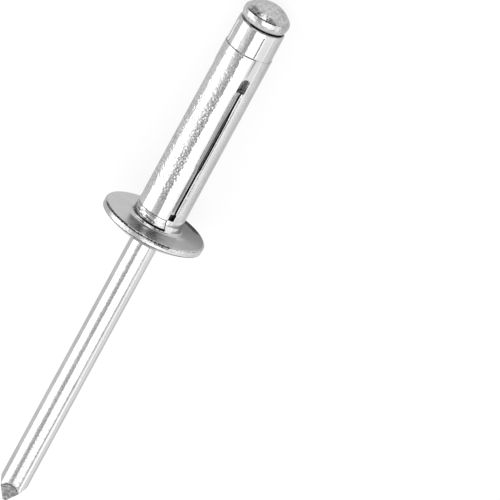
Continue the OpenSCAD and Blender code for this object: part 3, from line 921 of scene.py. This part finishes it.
# %% Stem piece
GAP_H, GAP_SHADE, GAP_SHADE_FADE = 0.03, 0.55, 0.1
TEAR_DEPTH, TEAR_EDGE = 0.05, (0.07, 0.06)
CROWN_REFLECTION_R, CROWN_REFLECTION_TURNS, FLANK_TURNS, FLANK_DROP = (1.5, 1.95), (-68, -48, -24, -8), (30, 60, 110, 140), 0.3
BROW_TURNS, BROW_W, BROW_REACH, BELT_DENTS = (-75, -50, 25, 45), 0.035, 0.1, 0.15
STEM_FLECKS, STEM_FLECK_TURNS = 0.45, (-26, -18, -4, -1)
STEM_SHEEN_LEVELS, STEM_SHEEN_TURNS, STEM_SHEEN_EDGE, STEM_SHEEN_END = (-26, -18), (26, 36), 6, (56, 72)

stem_facing = np.broadcast_to((np.degrees(stem_turn) + 180) % 360 - 180, stem_radius.shape)
stands_out = stem_level < 0
upset = 1.0 * (stem_level > SHANK_L + TOUCH)
torn = np.where(near_point, np.clip((STEM_R - stem_radius) / TEAR_DEPTH, 0, 1), 0)
# A painted dark reflection on the crown, and painted shade on the head's right flank.
crown_dark_reflection = swell(stem_radius, *CROWN_REFLECTION_R) * plateau(stem_facing, *CROWN_REFLECTION_TURNS)
crown_dark_reflection = crown_dark_reflection * (stem_level > crease_h - TOUCH)
flank_shade = plateau(stem_facing, *FLANK_TURNS) * (stem_level > crease_h - FLANK_DROP)
dark_reflection_and_shade = strongest((1, crown_dark_reflection), (0.35, flank_shade))
matted = 1.0 * ((stem_level < SHANK_L) & (stem_level > 0))
# A painted sheen on the stem where it stands out of the tube.
line_end = np.interp(stem_level, STEM_SHEEN_LEVELS, STEM_SHEEN_TURNS)
stem_sheen = swell(stem_facing, line_end, line_end + STEM_SHEEN_EDGE) * (1 - swell(stem_facing, *STEM_SHEEN_END))
stem_sheen = stands_out * stem_sheen
# Painted shade in the gap under the head and along the brow.
in_gap = (stem_level < SHANK_L + GAP_H) & (stem_level >= SHANK_L)
gap_shade = in_gap * (GAP_SHADE - GAP_SHADE_FADE * swell(-stem_facing, *GAP_TURNS))
torn_edge = near_point * peak(STEM_R - stem_radius, *TEAR_EDGE)
brow_line = peak(stem_level, crease_h, BROW_W) * plateau(stem_facing, *BROW_TURNS)
brow_line = brow_line * (stem_radius > crease_r - BROW_REACH)
soiled_and_shaded = strongest((1, gap_shade), (0.62, torn_edge), (0.8, brow_line))
flecked = STEM_FLECKS * stands_out * plateau(stem_facing, *STEM_FLECK_TURNS)
dented = upset * np.where(stem_level > crease_h, 1, BELT_DENTS)
# Inside the tube the stem is painted paler, which lifts its shade; outside it has the painted sheen.
highlit_and_rubbed = strongest((1, matted), (1, stem_sheen))
stem_masks = {"upset": (upset, 1, 0), "torn": (torn, 0, 1), "dark_reflection_and_shade": (dark_reflection_and_shade, 0, 0),
              "soiled_and_shaded": (soiled_and_shaded, 0, 0), "highlit_and_rubbed": (highlit_and_rubbed, 0, 0), "flecked": (flecked, 0, 0),
              "dented": (dented, 1, 0), "matted": (matted, 0, 0)}
stem_masks = {key: np.append(values.ravel(), ends) for key, (values, *ends) in stem_masks.items()}
stem = make_piece("pull_stem", "mandrel", stem_points, stem_faces, stem_masks)

# %% [markdown]
# ## Shared finishes
#
# Four effects are used by both metals, so each is a node group. Tumbling leaves small round pits and a
# fine grain, drawing leaves fine lines along the axis, handling leaves pale and dark flecks, and the last
# group breaks soil and painted shade into clots where a mask lets it. The groups put out a height for a Bump
# node, or a mask that varies colour and roughness. They read the upright position in millimetres, so a scale
# of two means marks of about half a millimetre.

# %% Finish groups
SOIL_AND_SHADE_GAIN, CLOT_GAIN, SOIL_AND_SHADE_BASE = 1.1, 1.4, -1.15
GRAIN_SHARE, FINE_SHARE, FINER, LINE_STRETCH = 0.12, 0.3, 3.0, (1, 1, 0.02)


def new_group(name, inputs, outputs):
    """An empty node group with its sockets."""
    group = bpy.data.node_groups.new(name, "ShaderNodeTree")
    for key, kind, value in inputs:
        socket = group.interface.new_socket(name=key, in_out="INPUT", socket_type="NodeSocket" + kind)
        if value is not None:
            socket.default_value = value
    for key in outputs:
        group.interface.new_socket(name=key, in_out="OUTPUT", socket_type="NodeSocketFloat")
    return group, group.nodes.new("NodeGroupInput").outputs, group.nodes.new("NodeGroupOutput").inputs


def noise(tree, place, scale, detail=2.0, rough=0.5):
    """A noise texture's value."""
    values = {"Vector": place, "Scale": scale, "Detail": detail, "Roughness": rough}
    return add(tree, "TexNoise", values).outputs[0]


tumbled, given, result = new_group("tumbled marks", [("Place", "Vector", None), ("Pits", "Float", 2.3),
                                                     ("Grain", "Float", 12.0)], ["Height", "Mask"])
nearest = add(tumbled, "TexVoronoi", {"Vector": given["Place"], "Scale": given["Pits"]}).outputs["Distance"]
thick = ease(tumbled, noise(tumbled, given["Place"], scale=1.1, detail=1.0), 0.25, 0.5)
pit = math_node(tumbled, "MULTIPLY", ease(tumbled, nearest, 0.1, 0.62, start=1.0, end=0.0), thick)
grain = noise(tumbled, given["Place"], given["Grain"])
smooth_part = math_node(tumbled, "SUBTRACT", 1.0, pit)
tumbled.links.new(math_node(tumbled, "MULTIPLY_ADD", grain, GRAIN_SHARE, smooth_part), result["Height"])
patches = noise(tumbled, given["Place"], scale=0.35, detail=3.0)
tumbled.links.new(ease(tumbled, patches, 0.35, 0.65), result["Mask"])

lines, given, result = new_group("drawing lines", [("Place", "Vector", None), ("Fineness", "Float", 9.0)],
                                 ["Height", "Mask"])
stretched = add(lines, "VectorMath", {0: given["Place"], 1: LINE_STRETCH}, operation="MULTIPLY").outputs[0]
coarse = noise(lines, stretched, given["Fineness"])
fine = noise(lines, stretched, math_node(lines, "MULTIPLY", given["Fineness"], FINER))
lines.links.new(math_node(lines, "MULTIPLY_ADD", fine, FINE_SHARE, coarse), result["Height"])
lines.links.new(ease(lines, coarse, 0.35, 0.65), result["Mask"])

handled, given, result = new_group("handling flecks", [("Place", "Vector", None)], ["Mask"])
fleck_noise = noise(handled, given["Place"], scale=6.0, rough=0.6)
handled.links.new(ease(handled, fleck_noise, 0.43, 0.57), result["Mask"])

soil_and_shade, given, result = new_group("dark soil", [("Place", "Vector", None), ("Amount", "Float", 0.0)], ["Mask"])
clots = noise(soil_and_shade, given["Place"], scale=9.0, detail=3.0, rough=0.6)
clots = math_node(soil_and_shade, "MULTIPLY_ADD", clots, CLOT_GAIN, SOIL_AND_SHADE_BASE)
soil_and_shade_level = math_node(soil_and_shade, "MULTIPLY_ADD", given["Amount"], SOIL_AND_SHADE_GAIN, clots)
soil_and_shade.links.new(ease(soil_and_shade, soil_and_shade_level, 0.0, 0.3), result["Mask"])
print("node groups:", ", ".join(group.name for group in (tumbled, lines, handled, soil_and_shade)))

# %% [markdown]
# ## Metal from a few layers
#
# Both metals are built alike. A Principled shader that is fully metallic gives the mirror, a stack of
# colour mixes gives its tone, each layer let through by a mask of the mesh, and bumps tilt the mirror a
# little. Seen at a grazing angle, this metal mirrors somewhat less than a perfect one, which the specular
# tint says.

# %% Material helpers
EDGE_TINT = 0.8


def grey(value):
    """A neutral colour."""
    return (value, value, value, 1)


def new_material(name):
    """A material with a metal shader, its tree and the upright place."""
    material = bpy.data.materials.new(name)
    material.use_nodes = True
    tree = material.node_tree
    tree.nodes.clear()
    shader = add(tree, "BsdfPrincipled", {"Metallic": 1.0, "Specular Tint": grey(EDGE_TINT)})
    add(tree, "OutputMaterial", {"Surface": shader.outputs[0]})
    place = add(tree, "Attribute", attribute_name="upright_mm").outputs["Vector"]
    return material, tree, shader, place


def use_group(tree, group, values):
    """The outputs of a node group that is placed in a material."""
    return add(tree, "Group", values, node_tree=group).outputs


def mask_of(tree, name):
    """A mask stored on the mesh."""
    return add(tree, "Attribute", attribute_name=name).outputs["Fac"]


def scaled(tree, value, factor, base=0.0):
    """A value times a factor, on a base."""
    return math_node(tree, "MULTIPLY_ADD", value, factor, base)


def mix_colour(tree, factor, first, second):
    """A mix of two colours."""
    return add(tree, "Mix", {0: factor, 6: first, 7: second}, data_type="RGBA").outputs[2]


def bump(tree, distance, height, normal=None):
    """A bumped normal, on top of another one if that is given."""
    values = {"Strength": 1.0, "Distance": distance, "Height": height}
    if normal is not None:
        values["Normal"] = normal
    return add(tree, "Bump", values).outputs[0]


def finish_material(piece, material, shader, tone, rough, normal):
    """The links to the shader, and the material's place on its piece."""
    for key, value in (("Base Color", tone), ("Roughness", rough), ("Normal", normal)):
        material.node_tree.links.new(value, shader.inputs[key])
    piece.data.materials.append(material)
    print("material:", material.name)


print("edge tint of the metals:", EDGE_TINT)

# %% [markdown]
# ## Tumbled aluminium
#
# The body has been tumbled with many others, so its skin has small pits, which show as bright flecks where
# the metal mirrors the dim part of the room. They are thickest on the free part of the tube; crimping has
# pressed them smooth at the end. A metal's base colour is its mirror colour, so it stays a middle grey,
# and most of the contrast comes from what it reflects.

# %% Body material
SKIN_DIM, SKIN_PALE, BRIGHT_TONE, PAINTED_SHADE_TONE = 0.46, 0.53, 0.9, 0.16
FLECK_DARK, FLECK_PALE, FLECK_SHARE, WRINKLE_SHADE_TONE, SOIL_AND_SHADE_TONE = 0.25, 0.74, 0.8, 0.13, 0.04
WRINKLE_STRETCH = (0.8, 0.8, 7.0)
SKIN_ROUGH, PATCH_ROUGH, BLUR_ROUGH, PIT_ROUGH, SOIL_AND_SHADE_ROUGH = 0.1, 0.04, 0.8, 0.03, 0.35
DRAWN_DEPTH, PIT_DEPTH = 0.0015 * MM, 0.022 * MM

material, tree, shader, place = new_material("tumbled aluminium")
marks = use_group(tree, tumbled, {"Place": place, "Pits": 3.2, "Grain": 12.0})
streaks = use_group(tree, lines, {"Place": place, "Fineness": 5.0})
flecks = use_group(tree, handled, {"Place": place})["Mask"]
dirt_and_shade = use_group(tree, soil_and_shade, {"Place": place, "Amount": mask_of(tree, "soiled_and_shaded")})["Mask"]
pits = mask_of(tree, "pitted")

tone = mix_colour(tree, marks["Mask"], grey(SKIN_DIM), grey(SKIN_PALE))
# A paler tone: painted highlight and sheen, and rubbed metal on the fin.
tone = mix_colour(tree, mask_of(tree, "highlit_and_rubbed"), tone, grey(BRIGHT_TONE))
fleck_tone = mix_colour(tree, flecks, grey(FLECK_DARK), grey(FLECK_PALE))
tone = mix_colour(tree, scaled(tree, mask_of(tree, "flecked"), FLECK_SHARE), tone, fleck_tone)
# Painted shade: the dark lines of the root's wrinkles.
ringed = add(tree, "VectorMath", {0: place, 1: WRINKLE_STRETCH}, operation="MULTIPLY").outputs[0]
wrinkle_shade_lines = ease(tree, noise(tree, ringed, scale=1.0), 0.58, 0.46)
wrinkle_shade_lines = math_node(tree, "MULTIPLY", wrinkle_shade_lines, mask_of(tree, "wrinkle_shade"))
tone = mix_colour(tree, wrinkle_shade_lines, tone, grey(WRINKLE_SHADE_TONE))
# Painted shade: a darker tone on the seat, the root, the rim, the rolled edges and the press line.
tone = mix_colour(tree, mask_of(tree, "painted_shade"), tone, grey(PAINTED_SHADE_TONE))
# The darkest layer: painted shade in recesses and gaps, and dark soil along the seams.
tone = mix_colour(tree, dirt_and_shade, tone, grey(SOIL_AND_SHADE_TONE))

rough = scaled(tree, marks["Mask"], PATCH_ROUGH, SKIN_ROUGH)
rough = scaled(tree, mask_of(tree, "blurred"), BLUR_ROUGH, rough)
rough = scaled(tree, pits, PIT_ROUGH, scaled(tree, dirt_and_shade, SOIL_AND_SHADE_ROUGH, rough))
drawn_normal = bump(tree, DRAWN_DEPTH, streaks["Height"])
pit_height = math_node(tree, "MULTIPLY", marks["Height"], pits)
finish_material(body, material, shader, tone, rough, bump(tree, PIT_DEPTH, pit_height, drawn_normal))

# %% [markdown]
# ## Drawn aluminium
#
# The stem keeps the fine lines of the drawing die. Its head has been upset in a die, so it is plainer and
# a little duller, with a painted dark reflection on its crown, and the flats of the point were sheared and
# torn by the jaws that pinched them, which makes them dark and rough.

# %% Stem material
STEM_DIM, STEM_PALE, STREAK_TONE, STREAK_SHARE, SHEEN_TONE, SHEEN_SHARE = 0.47, 0.54, 0.42, 0.25, 0.68, 0.9
STEM_FLECK_DARK, STEM_FLECK_PALE = 0.4, 0.9
HEAD_DIM, HEAD_PALE, HEAD_SHARE, DARK_REFLECTION_TONE, DARK_REFLECTION_BASE, DARK_REFLECTION_GAIN = 0.41, 0.6, 0.8, 0.14, 0.9, -0.7
TORN_DARK, TORN_PALE, TORN_SHARE, STEM_SOIL_AND_SHADE_TONE = 0.18, 0.4, 0.9, 0.03
STEM_ROUGH, MATT_ROUGH, HEAD_ROUGH, TORN_ROUGH = 0.11, 0.8, 0.01, 0.25
LINE_DEPTH, DENT_DEPTH, TEAR_BUMP = 0.004 * MM, 0.02 * MM, 0.12 * MM
DENT_GAIN, DENT_SHARE, DENT_BASE = 2.0, 0.45, 0.1

material, tree, shader, place = new_material("drawn aluminium")
marks = use_group(tree, tumbled, {"Place": place, "Pits": 3.0, "Grain": 7.0})
streaks = use_group(tree, lines, {"Place": place, "Fineness": 4.0})
flecks = use_group(tree, handled, {"Place": place})["Mask"]
dirt_and_shade = use_group(tree, soil_and_shade, {"Place": place, "Amount": mask_of(tree, "soiled_and_shaded")})["Mask"]
upset, torn = mask_of(tree, "upset"), mask_of(tree, "torn")
tears = ease(tree, noise(tree, place, scale=2.6, detail=4.0, rough=0.6), 0.38, 0.6)
blotches = ease(tree, noise(tree, place, scale=3.2, detail=3.0, rough=0.6), 0.35, 0.65)

tone = mix_colour(tree, marks["Mask"], grey(STEM_DIM), grey(STEM_PALE))
tone = mix_colour(tree, scaled(tree, streaks["Mask"], STREAK_SHARE), tone, grey(STREAK_TONE))
# A paler tone: a painted sheen, and lifted shade inside the tube.
tone = mix_colour(tree, scaled(tree, mask_of(tree, "highlit_and_rubbed"), SHEEN_SHARE), tone, grey(SHEEN_TONE))
fleck_tone = mix_colour(tree, flecks, grey(STEM_FLECK_DARK), grey(STEM_FLECK_PALE))
tone = mix_colour(tree, scaled(tree, mask_of(tree, "flecked"), FLECK_SHARE), tone, fleck_tone)
head_tone = mix_colour(tree, blotches, grey(HEAD_DIM), grey(HEAD_PALE))
tone = mix_colour(tree, scaled(tree, upset, HEAD_SHARE), tone, head_tone)
# A darker tone: a painted dark reflection on the crown and painted shade on the head's right flank.
dark_reflection_patches = math_node(tree, "MULTIPLY", mask_of(tree, "dark_reflection_and_shade"), scaled(tree, blotches, DARK_REFLECTION_GAIN, DARK_REFLECTION_BASE))
tone = mix_colour(tree, dark_reflection_patches, tone, grey(DARK_REFLECTION_TONE))
torn_tone = mix_colour(tree, tears, grey(TORN_DARK), grey(TORN_PALE))
tone = mix_colour(tree, scaled(tree, torn, TORN_SHARE), tone, torn_tone)
# The darkest layer: painted shade in the gap under the head and along its brow, and darker edges of the torn
# flats.
tone = mix_colour(tree, dirt_and_shade, tone, grey(STEM_SOIL_AND_SHADE_TONE))

rough = scaled(tree, mask_of(tree, "matted"), MATT_ROUGH, STEM_ROUGH)
rough = scaled(tree, marks["Mask"], PATCH_ROUGH, rough)
for factor, amount in ((dirt_and_shade, SOIL_AND_SHADE_ROUGH), (torn, TORN_ROUGH), (upset, HEAD_ROUGH)):
    rough = scaled(tree, factor, amount, rough)
line_share = math_node(tree, "SUBTRACT", 1.0, upset)
line_normal = bump(tree, LINE_DEPTH, math_node(tree, "MULTIPLY", streaks["Height"], line_share))
dents = scaled(tree, noise(tree, place, scale=3.5, detail=3.0, rough=0.6), DENT_GAIN, marks["Height"])
dents = math_node(tree, "MULTIPLY", dents, scaled(tree, mask_of(tree, "dented"), DENT_SHARE, DENT_BASE))
dent_normal = bump(tree, DENT_DEPTH, dents, line_normal)
tear_height = math_node(tree, "MULTIPLY", tears, torn)
finish_material(stem, material, shader, tone, rough, bump(tree, TEAR_BUMP, tear_height, dent_normal))

# %% [markdown]
# ## The table
#
# The rivet lies on a plain white sheet. To the camera and in the metal, most of the sheet's brightness is
# its own white, so the background stays even; the rest is a diffuse surface, which takes the soft shadow
# under the rivet. The light that the sheet throws back on the rivet comes from the diffuse surface alone.

# %% Floor
FLOOR, EVEN_SHARE = 3.0, 0.8
PAPER_DIM, PAPER_PALE, PAPER_ROUGH, PAPER_GLOSS = 0.88, 0.9, 0.9, 0.2
sheet = bpy.data.meshes.new("pale_sheet")
corners = [(-FLOOR, -FLOOR, 0), (FLOOR, -FLOOR, 0), (FLOOR, FLOOR, 0), (-FLOOR, FLOOR, 0)]
sheet.from_pydata(corners, [], [(0, 1, 2, 3)])
floor = bpy.data.objects.new("pale_sheet", sheet)
scene.collection.objects.link(floor)
material = bpy.data.materials.new("white paper")
material.use_nodes = True
tree = material.node_tree
tree.nodes.clear()
paper = add(tree, "BsdfPrincipled", {"Roughness": PAPER_ROUGH, "Specular IOR Level": PAPER_GLOSS})
even = add(tree, "Emission", {"Color": grey(1.0), "Strength": 1.0})
path = add(tree, "LightPath").outputs
seen = math_node(tree, "ADD", path["Is Camera Ray"], path["Is Glossy Ray"])
seen = math_node(tree, "MINIMUM", math_node(tree, "ADD", seen, path["Is Transmission Ray"]), 1.0)
surface = add(tree, "MixShader", {0: scaled(tree, seen, EVEN_SHARE), 1: paper.outputs[0], 2: even.outputs[0]})
add(tree, "OutputMaterial", {"Surface": surface.outputs[0]})
fibres = noise(tree, add(tree, "TexCoord").outputs["Object"], scale=60.0, detail=3.0)
tree.links.new(mix_colour(tree, fibres, grey(PAPER_DIM), grey(PAPER_PALE)), paper.inputs["Base Color"])
sheet.materials.append(material)
print("floor of", 2 * FLOOR, "m")
